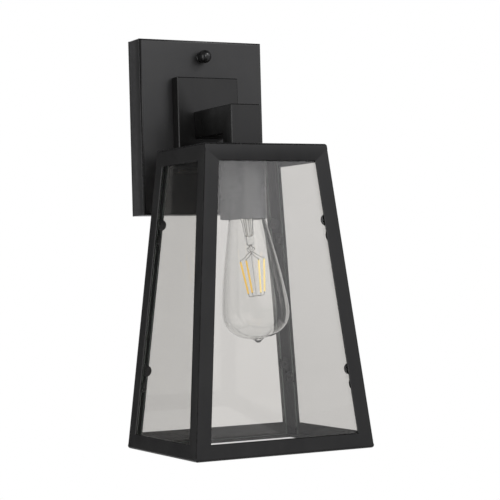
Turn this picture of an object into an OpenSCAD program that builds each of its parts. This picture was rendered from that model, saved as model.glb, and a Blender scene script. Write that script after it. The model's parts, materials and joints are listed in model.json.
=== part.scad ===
// Outdoor wall lantern: a rectangular backplate, a raised pad and an L-shaped box arm carry a
// tapered angle-iron cage with four glass panes, an open bottom and one screw-in filament bulb.
// The origin is on the wall, at the middle of the backplate. The wall is the plane y = 0, the
// lantern stands out along -Y and +Z is up.

/* [Backplate] */
// Width of the backplate
plate_w = 130; // [116:1:150]
// Height of the backplate
plate_h = 168; // [162:1:190]
// Distance from the wall to the front of the backplate
plate_d = 27; // [26:0.5:32]
// Sheet thickness of the backplate
plate_wall = 2; // [1.5:0.5:2.5]
// Radius of the rolled front edges
plate_edge_r = 2.5; // [1.5:0.5:4]
// Thickness of the foam gasket against the wall
gasket_t = 2; // [1.5:0.5:3]
// Width of the foam gasket's rim
gasket_rim = 6; // [4:0.5:7]
// Distance between the two mounting studs
stud_spacing = 136; // [130:1:140]

/* [Mounting bar] */
// Width of the mounting bar
bar_w = 20; // [16:1:26]
// Length of the mounting bar
bar_len = 152; // [148:1:154]
// Distance between the two slots for the junction box screws
box_spacing = 88.9; // [83:0.1:95]
// Width of each slot
slot_w = 4.8; // [4.2:0.1:5.4]
// End-to-end length of each slot
slot_len = 12; // [8:0.5:16]

/* [Pad] */
// Width of the raised pad
pad_w = 64; // [56:1:80]
// Height of the raised pad
pad_h = 91; // [80:1:110]
// How far the pad stands out of the backplate
pad_d = 12; // [10:0.5:16]
// How far the pad's centre is above the backplate's centre
pad_rise = 1.5; // [0:0.5:4]

/* [Arm] */
// Distance from the wall to the lantern's axis
reach = 105; // [100:1:130]
// Width of the arm
arm_w = 30; // [26:1:36]
// Height of the arm's level tube
arm_h = 26; // [22:1:32]
// Depth of the arm's drop tube, front to back
drop_d = 19; // [14:0.5:20]
// How far the drop tube's centre is in front of the lantern's axis
drop_fore = 2.2; // [0:0.1:2.5]
// Wall thickness of the arm
arm_wall = 2; // [1.5:0.5:2.5]
// How far the level tube's centre is above the backplate's centre
arm_rise = 1; // [0:0.5:3]

/* [Cage] */
// Distance from the backplate's centre down to the roof
roof_drop = 25; // [25:1:34]
// Height of the cage, roof included
cage_h = 277; // [270:1:320]
// Width of the cage at the roof
cage_top_w = 123; // [115:1:135]
// Width of the cage at the bottom
cage_bottom_w = 179; // [165:1:195]
// Depth of the cage at the roof
cage_top_d = 102; // [96:1:110]
// Depth of the cage at the bottom
cage_bottom_d = 148; // [138:1:156]
// Leg width of the angle iron
leg = 14.3; // [13.5:0.1:15.5]
// Thickness of the angle iron
angle_t = 2; // [1.5:0.5:2.5]
// Thickness of the roof sheet
roof_t = 1.5; // [1:0.5:2]
// Radius of the cage's ground corners
corner_r = 2.4; // [1:0.2:3]

/* [Glass] */
// Thickness of the panes
glass_t = 3; // [2:0.5:3]
// How far each pane reaches behind the upright legs
glass_lap = 2.6; // [2:0.1:2.8]
// Diameter of the round nuts that hold the panes
pane_nut_d = 10.8; // [9:0.2:11]
// Thickness of those nuts
pane_nut_t = 3.5; // [2.5:0.5:4]
// Distance of those nuts from the cage's outer corner
pane_nut_inset = 9.5; // [9:0.1:9.8]
// Distance of the upper nuts below the roof
upper_nut_drop = 69; // [60:1:80]
// Distance of the lower nuts below the roof
lower_nut_drop = 204.5; // [190:0.5:215]
// How much lower the nuts of the side panes are, so that nuts in one corner clear each other
side_nut_step = 14; // [12:1:18]

/* [Lamp holder] */
// Diameter of the socket cover
cover_d = 43; // [42.6:0.1:48]
// Distance from the roof's top to the mouth of the socket cover
cover_len = 66.5; // [66:0.5:68]
// How far the lamp holder hangs out of plumb, in degrees
holder_tilt = 4.5; // [0:0.5:4.5]

/* [Bulb] */
// Largest diameter of the bulb
bulb_d = 63; // [58:1:64]
// Diameter of the bulb's neck at the mouth of the socket cover
neck_d = 33.8; // [30:0.2:34]
// Distance from the neck to the bottom of the bulb, without its tip
bulb_len = 111; // [100:1:116]
// Thickness of the bulb's glass
bulb_wall = 0.9; // [0.7:0.1:1.2]

/* [Hidden] */
$fn = 64;

eps = 0.01;
far = 400;
fit = 0.05;                                   // radial room in a threaded or located hole
gap = 0.1;                                    // room between faces that move past each other

// Backplate group
shell_d = plate_d - gasket_t;                 // depth of the backplate's own shell
stud_r = 2.5;
stud_tip = plate_d + 8.4;                     // distance from the wall to a stud's end
bar_t = 2;
locknut_af = 8;
locknut_t = 4;
ground_z = 24;
ground_r = 2;
pad_front = plate_d + pad_d;                  // distance from the wall to the pad's face
pad_wall = 2.5;
pad_screw_x = pad_w / 2 - 8;
pad_screw_z = pad_h / 2 - 8;
pad_screw_r = 2;
pad_boss_r = 4.5;
nipple_r = 5;
nipple_bore = 3.5;
nipple_nut_af = 14;
nipple_nut_t = 3.5;
nipple_washer_r = 8.2;
nipple_boss_r = 9;
washer_t = 1;
screw_head_r = 3.8;
screw_head_t = 2.4;
screw_socket_r = 1.5;
screw_tip = plate_d + 7;

// Cap nuts on the studs
cap_washer_r = 5.5;
cap_seat = plate_d + gap;                     // distance from the wall to the cap washer's back
cap_base = cap_seat + washer_t + gap;         // distance from the wall to the cap nut's back
cap_neck_r = 5;
cap_neck_len = 2;
cap_ball_r = 6.4;
cap_ball_centre = 5.6;
cap_bore_depth = 7.6;

// Arm
arm_clamp = plate_d - plate_wall;             // the face inside the backplate that is clamped
arm_under = arm_rise - arm_h / 2;
arm_end = reach + drop_fore + drop_d / 2;     // distance from the wall to the arm's front
arm_end_t = 3;                                // thickness of the arm's two end plates

// Cage heights
roof_z = -roof_drop;
frame_z = roof_z - roof_t;                    // top of the angle iron
floor_z = roof_z - cage_h;                    // bottom of the angle iron
pane_top = frame_z - angle_t - 1;
pane_foot = floor_z + angle_t;
pane_in = leg - glass_lap;                    // from the cage's outer corner to the pane's edge
pane_stud_r = 1.5;
mitre_over = 12;
front_tip = corner_r + 1;                     // height of the front and back rails' outer ends
side_tip = front_tip + 0.4;                   // and of the side rails'

// Lamp holder and bulb: heights along the bulb's own axis, from the pivot
pivot_drop = 25;                              // from the roof down to the pivot
pivot_z = roof_z - pivot_drop;
mouth = (cover_len - pivot_drop) / cos(holder_tilt);  // the cover's mouth, below the pivot
cover_wall = 0.8;
holder_r = 16.8;
holder_well_r = 12.5;
holder_top = 12;
holder_plate_r = 14;
holder_plate_bore = 6.7;                      // wide enough for the plate to hang out of plumb
web_top = -4;
web_bottom = -8;
rivet_r = 1.5;
rivet_x = -8.5;                               // the shell's rivet; the contact's is on the axis
rivet_end = web_top + 1;
holder_rim = 6;                               // from the holder's rim up from the mouth
shell_r = 13.9;
shell_bore = 13.4;
cap_r = 13;
cap_wall = 0.4;
cap_joint = -mouth + 6;                       // where the bulb's metal cap meets its glass
cap_shell_len = 21.5;
insulator_len = 3.5;
contact_len = 1.5;
cap_shell_top = cap_joint + cap_shell_len;
insulator_top = cap_shell_top + insulator_len;
bulb_belly = 84;                              // from the mouth to the bulb's widest ring
stem_tip = -mouth - 25;
stem_rod_end = -mouth - 71.5;
filament_top = -mouth - 37;
filament_foot = -mouth - 69.5;
filament_top_r = 12.5;
filament_foot_r = 8.3;
filament_r = 0.9;
wire_r = 0.3;
wire_gap = 0.25;
belly_steps = 12;
bottom_steps = 16;
oval_power = 2.3;                             // 2 would make the bulb's bottom a plain half oval
tip_r = 3.6;                                  // radius of the sealed tip under the bulb

// The pipe that clamps the arm, the roof and the socket cover, and carries the lamp holder
drop_clamp = frame_z - 1;                     // underside of the socket cover's top
holder_nut_top = pivot_z + holder_top * cos(holder_tilt)
    - nipple_nut_af / 2 / cos(30) * sin(holder_tilt) - 0.2;
holder_nut_foot = holder_nut_top - nipple_nut_t;
drop_end = holder_nut_foot - 1.6;             // lower end of the pipe

// Leads
lead_r = 1.2;
lead_bend = 5;                                // where a lead starts to turn before each corner
lead_bend_share = 0.45;                       // or, on a short run, this share of the run
bend_steps = 4;
lead_sides = 10;
lead_gap = 1.6;                               // from the conduit's axis to each lead's axis
hollow_y = -12;                               // where the leads lie inside the backplate
connector_x = 30;
connector_top = -40;
connector_len = 20;
connector_bore = 3;
connector_hole = 8;
earth_r = 0.8;
tag_t = 0.9;                                  // thickness of the earth lead's flat ends
tag_w = 4;
tag_len = 6;
ring_r = 4.2;

coat = [0.09, 0.09, 0.095];
steel = [0.7, 0.71, 0.73];
brass = [0.78, 0.62, 0.32];
foam = [0.05, 0.05, 0.05];
clear = [0.85, 0.9, 0.9, 0.35];

// ---- Shared shapes -------------------------------------------------------------------------

// A bar of the X-Z outline given, running along Y through the whole lantern
module along_y(points) {
    translate([0, far, 0]) rotate([90, 0, 0]) linear_extrude(2 * far) polygon(points);
}

// A bar of the Y-Z outline given, running along X through the whole lantern
module along_x(points) {
    translate([-far, 0, 0]) rotate([90, 0, 90]) linear_extrude(2 * far) polygon(points);
}

// A box from y = -front to y = -back, centred on x = 0 and on the height given
module wall_box(w, h, back, front, z) {
    translate([-w / 2, -front, z - h / 2]) cube([w, front - back, h]);
}

// A round bar square to the wall, from y = -back to y = -front
module wall_rod(r, back, front) {
    translate([0, -back, 0]) rotate([90, 0, 0]) cylinder(r = r, h = front - back);
}

// A hexagonal bar along Z, measured across its flats
module hex_bar(af, h) {
    cylinder(r = af / 2 / cos(30), h = h, $fn = 6);
}

// A straight round bar between two points
module rod(a, b, r) {
    v = b - a;
    length = norm(v);
    translate(a) rotate([0, acos(v.z / length), atan2(v.y, v.x)]) cylinder(r = r, h = length);
}

// The rounded corner that a lead takes at b, on its way from a to c
function bend_arc(a, b, c) =
    let (from = b + min(lead_bend / norm(a - b), lead_bend_share) * (a - b),
        to = b + min(lead_bend / norm(c - b), lead_bend_share) * (c - b))
    [for (k = [0 : 1 / bend_steps : 1]) (1 - k) * (1 - k) * from + 2 * k * (1 - k) * b + k * k * to];

// The whole route of a lead, from its corner points
function lead_route(points) = concat([points[0]],
    [for (i = [1 : len(points) - 2]) each bend_arc(points[i - 1], points[i], points[i + 1])],
    [points[len(points) - 1]]);

function unit(v) = v / norm(v);

// The way the route runs at each of its points
function headings(path) = [for (i = [0 : len(path) - 1])
    unit(path[min(i + 1, len(path) - 1)] - path[max(i - 1, 0)])];

// One direction across the route at each point, turned as little as possible from the last
function across(heading, sides) = len(sides) == len(heading) ? sides
    : let (h = heading[len(sides)], last = sides[len(sides) - 1])
        across(heading, concat(sides, [unit(last - h * (last * h))]));

// A lead of radius r along a route, drawn as a tube with lead_sides flat sides
module lead(points, r) {
    path = lead_route(points);
    heading = headings(path);
    start = abs(heading[0].z) > 0.7 ? [1, 0, 0] : [0, 0, 1];
    side = across(heading, [unit(start - heading[0] * (start * heading[0]))]);
    n = lead_sides;
    last = len(path) - 1;
    polyhedron([for (i = [0 : last]) for (k = [0 : n - 1])
            path[i] + r * (cos(360 * k / n) * side[i] + sin(360 * k / n) * cross(heading[i], side[i]))],
        concat([[for (k = [0 : n - 1]) k]], [[for (k = [n - 1 : -1 : 0]) last * n + k]],
            [for (i = [0 : last - 1]) for (k = [0 : n - 1])
                [i * n + k, (i + 1) * n + k, i * n + (k + 1) % n]],
            [for (i = [0 : last - 1]) for (k = [0 : n - 1])
                [(i + 1) * n + k, (i + 1) * n + (k + 1) % n, i * n + (k + 1) % n]]));
}

// The cage's half width and half depth at a height
function half(top, bottom, z) = (top + (bottom - top) * (roof_z - z) / cage_h) / 2;
function half_w(z) = half(cage_top_w, cage_bottom_w, z);
function half_d(z) = half(cage_top_d, cage_bottom_d, z);

// Everything in the cage is modelled about the lantern's own axis
module at_lantern() {
    translate([0, -reach, 0]) children();
}

// The lamp holder and the bulb share an axis that leans out of plumb
module at_holder() {
    translate([0, -reach, pivot_z]) rotate([0, -holder_tilt, 0]) children();
}

// What a corner between two outline edges loses when it is rounded to radius r
module corner_waste(p, a, b, r) {
    u = (a - p) / norm(a - p);
    v = (b - p) / norm(b - p);
    half_angle = acos(u * v) / 2;
    bisector = (u + v) / norm(u + v);
    centre = p + bisector * r / sin(half_angle);
    difference() {
        polygon([p - bisector, p + u * r / tan(half_angle), centre, p + v * r / tan(half_angle)]);
        translate(centre) circle(r = r);
    }
}

// The cage's outline from one side, with its four corners rounded
module cage_outline(top, bottom) {
    p = [[-bottom / 2, floor_z], [bottom / 2, floor_z], [top / 2, roof_z], [-top / 2, roof_z]];
    difference() {
        polygon(p);
        for (i = [0 : 3]) corner_waste(p[i], p[(i + 3) % 4], p[(i + 1) % 4], corner_r);
    }
}

// The cage's outer shape: both side outlines at once
module cage_envelope() {
    intersection() {
        translate([0, far, 0]) rotate([90, 0, 0]) linear_extrude(2 * far)
            cage_outline(cage_top_w, cage_bottom_w);
        translate([-far, 0, 0]) rotate([90, 0, 90]) linear_extrude(2 * far)
            cage_outline(cage_top_d, cage_bottom_d);
    }
}

// ---- Mounting hardware ---------------------------------------------------------------------

module wall_gasket() {
    color(foam) difference() {
        wall_box(plate_w, plate_h, 0, gasket_t, 0);
        wall_box(plate_w - 2 * gasket_rim, plate_h - 2 * gasket_rim, -eps, gasket_t + eps, 0);
    }
}

module mounting_bar() {
    color(steel) difference() {
        wall_box(bar_w, bar_len, 0, bar_t, 0);
        for (side = [-1, 1]) {
            translate([0, 0, side * stud_spacing / 2]) wall_rod(stud_r + fit, -1, bar_t + 1);
            for (end = [-1, 1])
                translate([0, 0, side * box_spacing / 2 + end * (slot_len - slot_w) / 2])
                    wall_rod(slot_w / 2, -1, bar_t + 1);
            wall_box(slot_w, slot_len - slot_w, -1, bar_t + 1, side * box_spacing / 2);
        }
        translate([0, 0, ground_z]) wall_rod(ground_r + fit, -1, bar_t + 1);
    }
}

module mounting_studs() {
    color(steel) for (side = [-1, 1])
        translate([0, 0, side * stud_spacing / 2]) wall_rod(stud_r, 0, stud_tip);
}

module stud_locknuts() {
    color(steel) for (side = [-1, 1])
        translate([0, -bar_t, side * stud_spacing / 2]) rotate([90, 0, 0]) difference() {
            hex_bar(locknut_af, locknut_t);
            translate([0, 0, -1]) cylinder(r = stud_r + fit, h = locknut_t + 2);
        }
}

module ground_screw() {
    color("green") translate([0, 0, ground_z]) {
        wall_rod(ground_r, 0, bar_t + 1);
        translate([0, -bar_t - 1, 0]) rotate([90, 0, 0]) {
            cylinder(r = 4.4, h = 1);
            hex_bar(6.4, 3.6);
        }
    }
}

// The backplate's rolled outline, seen along one axis: square at the wall, rounded in front
module rolled_outline(size) {
    r = plate_edge_r;
    translate([-size / 2, 0]) square([size, shell_d - r]);
    translate([r - size / 2, 0]) square([size - 2 * r, shell_d]);
    for (side = [-1, 1]) translate([side * (size / 2 - r), shell_d - r]) circle(r = r);
}

module backplate() {
    color(coat) difference() {
        translate([0, -gasket_t, 0]) intersection() {
            translate([0, 0, -far]) linear_extrude(2 * far) mirror([0, 1])
                rolled_outline(plate_w);
            rotate([180, 0, 0]) rotate([0, 90, 0]) translate([0, 0, -far])
                linear_extrude(2 * far) rolled_outline(plate_h);
        }
        wall_box(plate_w - 2 * plate_wall, plate_h - 2 * plate_wall, 0, plate_d - plate_wall, 0);
        translate([0, 0, arm_rise]) wall_rod(nipple_r + 4 * fit, 0, plate_d + 1);
        for (side = [-1, 1]) translate([0, 0, side * stud_spacing / 2])
            wall_rod(stud_r + 0.5, 0, plate_d + 1);
        pad_screw_places() wall_rod(pad_screw_r + 4 * fit, 0, plate_d + 1);
    }
}

module cap_washer(side) {
    color(coat) translate([0, 0, side * stud_spacing / 2]) difference() {
        wall_rod(cap_washer_r, cap_seat, cap_seat + washer_t);
        wall_rod(stud_r + 2 * fit, 0, stud_tip);
    }
}

module cap_washer_top() { cap_washer(1); }

module cap_washer_bottom() { cap_washer(-1); }

// A ball-shaped cap nut on a short neck, bored blind for the stud
module cap_nut(side) {
    color(coat) translate([0, -cap_base, side * stud_spacing / 2]) rotate([90, 0, 0])
        difference() {
            union() {
                cylinder(r = cap_neck_r, h = cap_neck_len);
                intersection() {
                    translate([0, 0, cap_ball_centre]) sphere(r = cap_ball_r);
                    translate([0, 0, 1]) cylinder(r = cap_ball_r + 1, h = 2 * cap_ball_r + 2);
                }
            }
            translate([0, 0, -1]) cylinder(r = stud_r + 2 * fit, h = cap_bore_depth + 1);
        }
}

module cap_nut_top() { cap_nut(1); }

module cap_nut_bottom() { cap_nut(-1); }

// ---- Pad and arm ---------------------------------------------------------------------------

module pad_screw_places() {
    for (x = [-pad_screw_x, pad_screw_x]) for (z = [-pad_screw_z, pad_screw_z])
        translate([x, 0, pad_rise + z]) children();
}

module mount_pad() {
    color(coat) difference() {
        union() {
            difference() {
                wall_box(pad_w, pad_h, plate_d, pad_front, pad_rise);
                wall_box(pad_w - 2 * pad_wall, pad_h - 2 * pad_wall, plate_d - 1,
                    pad_front - pad_wall, pad_rise);
            }
            pad_screw_places() wall_rod(pad_boss_r, plate_d, pad_front - pad_wall + eps);
            translate([0, 0, arm_rise]) wall_rod(nipple_boss_r, plate_d, pad_front - pad_wall + eps);
        }
        pad_screw_places() wall_rod(pad_screw_r + fit, plate_d - 1, pad_front - pad_wall);
        translate([0, 0, arm_rise]) wall_rod(nipple_r + 2 * fit, plate_d - 1, pad_front + 1);
    }
}

module pad_screws() {
    head = plate_d - plate_wall;
    color(steel) pad_screw_places() {
        wall_rod(pad_screw_r, head - eps, screw_tip);
        difference() {
            wall_rod(screw_head_r, head - screw_head_t, head);
            wall_rod(screw_socket_r, head - screw_head_t - 1, head - screw_head_t / 2);
        }
    }
}

module arm() {
    color(coat) difference() {
        union() {
            wall_box(arm_w, arm_h, pad_front, arm_end, arm_rise);
            wall_box(arm_w, arm_under - roof_z + 1, arm_end - drop_d, arm_end,
                (arm_under + roof_z + 1) / 2);
        }
        wall_box(arm_w - 2 * arm_wall, arm_h - 2 * arm_wall, pad_front + arm_end_t,
            arm_end - arm_wall, arm_rise);
        translate([0, -reach - drop_fore, (arm_rise + roof_z + arm_end_t) / 2])
            cube([arm_w - 2 * arm_wall, drop_d - 2 * arm_wall, arm_rise - roof_z - arm_end_t],
                center = true);
        translate([0, 0, arm_rise]) wall_rod(nipple_r + fit, pad_front - 1, pad_front + 5);
        translate([0, -reach, roof_z - 1]) cylinder(r = nipple_r + fit, h = 5);
    }
}

// A threaded pipe that clamps two pieces and lets the leads through
module nipple(length) {
    difference() {
        cylinder(r = nipple_r, h = length);
        translate([0, 0, -1]) cylinder(r = nipple_bore, h = length + 2);
    }
}

module nipple_nut() {
    difference() {
        hex_bar(nipple_nut_af, nipple_nut_t);
        translate([0, 0, -1]) cylinder(r = nipple_r + fit, h = nipple_nut_t + 2);
    }
}

module nipple_washer() {
    difference() {
        cylinder(r = nipple_washer_r, h = washer_t);
        translate([0, 0, -1]) cylinder(r = nipple_r + 2 * fit, h = washer_t + 2);
    }
}

module arm_nipple() {
    start = arm_clamp - washer_t - nipple_nut_t - 2;
    color(steel) translate([0, -start, arm_rise]) rotate([90, 0, 0])
        nipple(pad_front + arm_end_t - start);
}

module arm_nipple_washer() {
    color(steel) translate([0, washer_t - arm_clamp, arm_rise]) rotate([90, 0, 0])
        nipple_washer();
}

module arm_nipple_nut() {
    color(steel) translate([0, washer_t + nipple_nut_t - arm_clamp, arm_rise])
        rotate([90, 0, 0]) nipple_nut();
}

// ---- Cage ----------------------------------------------------------------------------------

// The front rail of a cage that is w wide and d deep: an L section, mitred at both ends.
// up is 1 for a bottom rail and -1 for a top rail; z is the height of its outer edge, and tip
// how tall its ends are at the cage's outer corners.
module rail(top_w, bottom_w, top_d, bottom_d, z, up, tip) {
    leg_z = z + up * leg;
    tip_z = z + up * tip;
    flange_z = z + up * angle_t;
    w = half(top_w, bottom_w, z);
    d = half(top_d, bottom_d, z);
    tip_w = half(top_w, bottom_w, tip_z);
    leg_w = half(top_w, bottom_w, leg_z);
    leg_d = half(top_d, bottom_d, leg_z);
    flange_d = half(top_d, bottom_d, flange_z);
    intersection() {
        along_x([[-d, z], [-leg_d, leg_z], [angle_t - leg_d, leg_z],
            [angle_t - flange_d, flange_z], [leg - d, flange_z], [leg - d, z]]);
        along_y([[-w, z], [w, z], [tip_w, tip_z], [leg_w - leg, leg_z], [leg - leg_w, leg_z],
            [-tip_w, tip_z]]);
        translate([0, 0, -far]) linear_extrude(2 * far) polygon([
            [-w - mitre_over, -d - mitre_over], [w + mitre_over, -d - mitre_over],
            [w - leg, leg - d], [leg - w, leg - d]]);
    }
}

// The four sides of the cage, as turns of the front: front, back, left and right
module rail_at(side, z, up) {
    color(coat) at_lantern() intersection() {
        if (side == "front" || side == "back") rotate([0, 0, side == "front" ? 0 : 180])
            rail(cage_top_w, cage_bottom_w, cage_top_d, cage_bottom_d, z, up, front_tip);
        else rotate([0, 0, side == "left" ? -90 : 90])
            rail(cage_top_d, cage_bottom_d, cage_top_w, cage_bottom_w, z, up, side_tip);
        cage_envelope();
    }
}

module top_rail_front() { rail_at("front", frame_z, -1); }

module top_rail_back() { rail_at("back", frame_z, -1); }

module top_rail_left() { rail_at("left", frame_z, -1); }

module top_rail_right() { rail_at("right", frame_z, -1); }

module bottom_rail_front() { rail_at("front", floor_z, 1); }

module bottom_rail_back() { rail_at("back", floor_z, 1); }

module bottom_rail_left() { rail_at("left", floor_z, 1); }

module bottom_rail_right() { rail_at("right", floor_z, 1); }

// One side of the cage's tapered body, with every face moved inward by inset
function side_outline(top, bottom, inset) =
    let (high = roof_z + inset, low = floor_z - inset)
    let (w_high = half(top, bottom, high) - inset, w_low = half(top, bottom, low) - inset)
    [[-w_high, high], [-w_low, low], [w_low, low], [w_high, high]];

module tapered_body(inset) {
    intersection() {
        along_x(side_outline(cage_top_d, cage_bottom_d, inset));
        along_y(side_outline(cage_top_w, cage_bottom_w, inset));
    }
}

// The strip of one side that a post takes up, with its mitres carried on past the cage
function post_strip(top, bottom, tip) =
    let (tip_high = frame_z - tip, tip_low = floor_z + tip)
    let (in_high = frame_z - leg, in_low = floor_z + leg)
    let (inner_high = [leg - half(top, bottom, in_high), in_high])
    let (inner_low = [leg - half(top, bottom, in_low), in_low])
    [2 * [-half(top, bottom, tip_high), tip_high] - inner_high,
        2 * [-half(top, bottom, tip_low), tip_low] - inner_low, inner_low, inner_high];

// An L-section post of the front left corner, mirrored to the other corners
module post(x_side, y_side) {
    end = side_tip + 0.3;
    color(coat) at_lantern() mirror([x_side > 0 ? 1 : 0, 0, 0]) mirror([0, y_side > 0 ? 1 : 0, 0])
        intersection() {
            difference() {
                tapered_body(0);
                tapered_body(angle_t);
            }
            along_y(post_strip(cage_top_w, cage_bottom_w, front_tip));
            along_x(post_strip(cage_top_d, cage_bottom_d, side_tip));
            translate([-far, -far, floor_z + end])
                cube([2 * far, 2 * far, frame_z - floor_z - 2 * end]);
        }
}

module post_front_left() { post(-1, -1); }

module post_front_right() { post(1, -1); }

module post_back_left() { post(-1, 1); }

module post_back_right() { post(1, 1); }

module roof_plate() {
    color(coat) at_lantern() difference() {
        intersection() {
            translate([0, 0, frame_z + roof_t / 2])
                cube([cage_bottom_w, cage_bottom_d, roof_t], center = true);
            cage_envelope();
        }
        translate([0, 0, frame_z - 1]) cylinder(r = nipple_r + 4 * fit, h = roof_t + 2);
    }
}

// ---- Glass ---------------------------------------------------------------------------------

// The front pane of a cage with the sizes given, behind the angle iron and on the bottom rail
module pane(top_w, bottom_w, top_d, bottom_d) {
    d_top = half(top_d, bottom_d, pane_top) - angle_t;
    d_foot = half(top_d, bottom_d, pane_foot) - angle_t;
    w_top = half(top_w, bottom_w, pane_top) - pane_in;
    w_foot = half(top_w, bottom_w, pane_foot) - pane_in;
    intersection() {
        along_x([[-d_top, pane_top], [-d_foot, pane_foot], [glass_t - d_foot, pane_foot],
            [glass_t - d_top, pane_top]]);
        along_y([[-w_top, pane_top], [-w_foot, pane_foot], [w_foot, pane_foot],
            [w_top, pane_top]]);
    }
}

module glass_front() {
    color(clear) at_lantern() pane(cage_top_w, cage_bottom_w, cage_top_d, cage_bottom_d);
}

module glass_back() {
    color(clear) at_lantern() rotate([0, 0, 180])
        pane(cage_top_w, cage_bottom_w, cage_top_d, cage_bottom_d);
}

module glass_left() {
    color(clear) at_lantern() rotate([0, 0, -90])
        pane(cage_top_d, cage_bottom_d, cage_top_w, cage_bottom_w);
}

module glass_right() {
    color(clear) at_lantern() rotate([0, 0, 90])
        pane(cage_top_d, cage_bottom_d, cage_top_w, cage_bottom_w);
}

// The four fixing points of the front pane: children start on the outer face and point inward
module pane_points(top_w, bottom_w, top_d, bottom_d, step) {
    lean = atan((bottom_d - top_d) / 2 / cage_h);
    for (drop = [upper_nut_drop, lower_nut_drop]) {
        z = roof_z - drop - step;
        for (side = [-1, 1])
            translate([side * (half(top_w, bottom_w, z) - pane_nut_inset),
                -half(top_d, bottom_d, z), z]) rotate([-90 - lean, 0, 0]) children();
    }
}

module all_pane_points() {
    at_lantern() {
        for (turn = [0, 180]) rotate([0, 0, turn])
            pane_points(cage_top_w, cage_bottom_w, cage_top_d, cage_bottom_d, 0) children();
        for (turn = [-90, 90]) rotate([0, 0, turn])
            pane_points(cage_top_d, cage_bottom_d, cage_top_w, cage_bottom_w, side_nut_step)
                children();
    }
}

module pane_studs() {
    color(steel) all_pane_points() translate([0, 0, angle_t])
        cylinder(r = pane_stud_r, h = glass_t + pane_nut_t + 1);
}

module pane_nuts() {
    r = pane_nut_d / 2;
    chamfer = 0.6;
    bore = pane_stud_r + fit;
    color(coat) all_pane_points() translate([0, 0, angle_t + glass_t]) rotate_extrude()
        polygon([[bore, 0], [r, 0], [r, pane_nut_t - chamfer], [r - chamfer, pane_nut_t],
            [bore, pane_nut_t]]);
}

// ---- Socket cover and lamp holder ----------------------------------------------------------

module drop_nipple() {
    color(steel) translate([0, -reach, drop_end]) nipple(roof_z + arm_end_t - drop_end);
}

module drop_nipple_washer() {
    color(steel) translate([0, -reach, drop_clamp - washer_t]) nipple_washer();
}

module drop_nipple_nut() {
    color(steel) translate([0, -reach, drop_clamp - washer_t - nipple_nut_t]) nipple_nut();
}

module socket_cover() {
    r = cover_d / 2;
    foot = roof_z - cover_len;
    color(coat) translate([0, -reach, 0]) difference() {
        translate([0, 0, foot]) cylinder(r = r, h = frame_z - foot);
        translate([0, 0, foot - 1]) cylinder(r = r - cover_wall, h = drop_clamp - foot + 1);
        translate([0, 0, drop_clamp - 1]) cylinder(r = nipple_r + 4 * fit, h = 3);
    }
}

module holder_plate() {
    color(steel) at_holder() translate([0, 0, holder_top]) difference() {
        cylinder(r = holder_plate_r, h = 1.2);
        translate([0, 0, -1]) cylinder(r = holder_plate_bore, h = 3);
    }
}

module holder_nut() {
    color(steel) translate([0, -reach, holder_nut_foot]) nipple_nut();
}

module lamp_holder() {
    foot = holder_rim - mouth;
    color([0.1, 0.1, 0.1]) at_holder() difference() {
        translate([0, 0, foot]) cylinder(r = holder_r, h = holder_top - foot);
        translate([0, 0, web_top]) cylinder(r = holder_well_r, h = holder_top - web_top + 1);
        translate([0, 0, foot - 1]) cylinder(r = shell_r + fit, h = web_bottom - foot + 1);
        for (x = [rivet_x, 0]) translate([x, 0, web_bottom - 1]) cylinder(r = rivet_r + fit, h = 8);
    }
}

module holder_shell() {
    foot = holder_rim - mouth + 0.5;
    color(brass) at_holder() {
        difference() {
            translate([0, 0, foot]) cylinder(r = shell_r, h = web_bottom - foot);
            translate([0, 0, foot - 1]) cylinder(r = shell_bore, h = web_bottom - foot + 0.4);
            translate([0, 0, web_bottom - 1]) cylinder(r = 7, h = 2);
        }
        translate([rivet_x, 0, web_bottom - eps]) cylinder(r = rivet_r, h = rivet_end - web_bottom);
    }
}

module holder_contact() {
    color(brass) at_holder() {
        translate([0, 0, web_bottom - 0.5]) cylinder(r = 4.5, h = 0.5);
        translate([0, 0, web_bottom - eps]) cylinder(r = rivet_r, h = rivet_end - web_bottom);
    }
}

// ---- Leads ---------------------------------------------------------------------------------

// A mains lead from the holder's terminal up the drop pipe, along the arm and into the
// backplate, where it turns aside and hangs down to its connector
module mains_lead(side, terminal) {
    x = side * lead_gap;
    lead([terminal, [x, -reach, drop_end - 2], [x, -reach, arm_rise],
        [x, hollow_y, arm_rise], [side * connector_x, hollow_y, arm_rise],
        [side * connector_x, hollow_y, connector_top - connector_hole / 2]], lead_r);
}

// Where a lead meets a rivet that stands at x on the holder's web
function terminal_point(x) =
    let (up = rivet_end + lead_r + fit)
    [x * cos(holder_tilt) - up * sin(holder_tilt), -reach,
        pivot_z + up * cos(holder_tilt) + x * sin(holder_tilt)];

module live_lead() { color([0.05, 0.05, 0.05]) mains_lead(1, terminal_point(0)); }

module neutral_lead() { color([0.92, 0.92, 0.9]) mains_lead(-1, terminal_point(rivet_x)); }

// The earth lead runs from a ring under the ground screw to a flat tag on the backplate
module earth_lead() {
    ring_face = bar_t + tag_t;
    tag_x = -pad_screw_x + screw_head_r + tag_len / 2 + 0.5;
    tag_z = pad_rise + pad_screw_z;
    color([0.1, 0.5, 0.15]) {
        difference() {
            translate([0, 0, ground_z]) union() {
                wall_rod(ring_r, bar_t, ring_face);
                translate([-(ring_r + tag_len) / 2, 0, 0])
                    wall_box(ring_r + tag_len, tag_w, bar_t, ring_face, 0);
            }
            translate([0, 0, ground_z]) wall_rod(ground_r + 2 * fit, 0, bar_t + 2);
        }
        translate([tag_x, 0, 0]) wall_box(tag_len, tag_w, arm_clamp - tag_t, arm_clamp, tag_z);
        lead([[-ring_r - 1.4, -ring_face - earth_r / 2, ground_z],
            [-ring_r - 9, -ring_face - earth_r, ground_z], [-20, hollow_y, ground_z + 4],
            [tag_x, hollow_y - 2, tag_z - 9], [tag_x, tag_t + earth_r / 2 - arm_clamp, tag_z - 5],
            [tag_x, tag_t + earth_r / 2 - arm_clamp, tag_z]], earth_r);
    }
}

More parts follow.
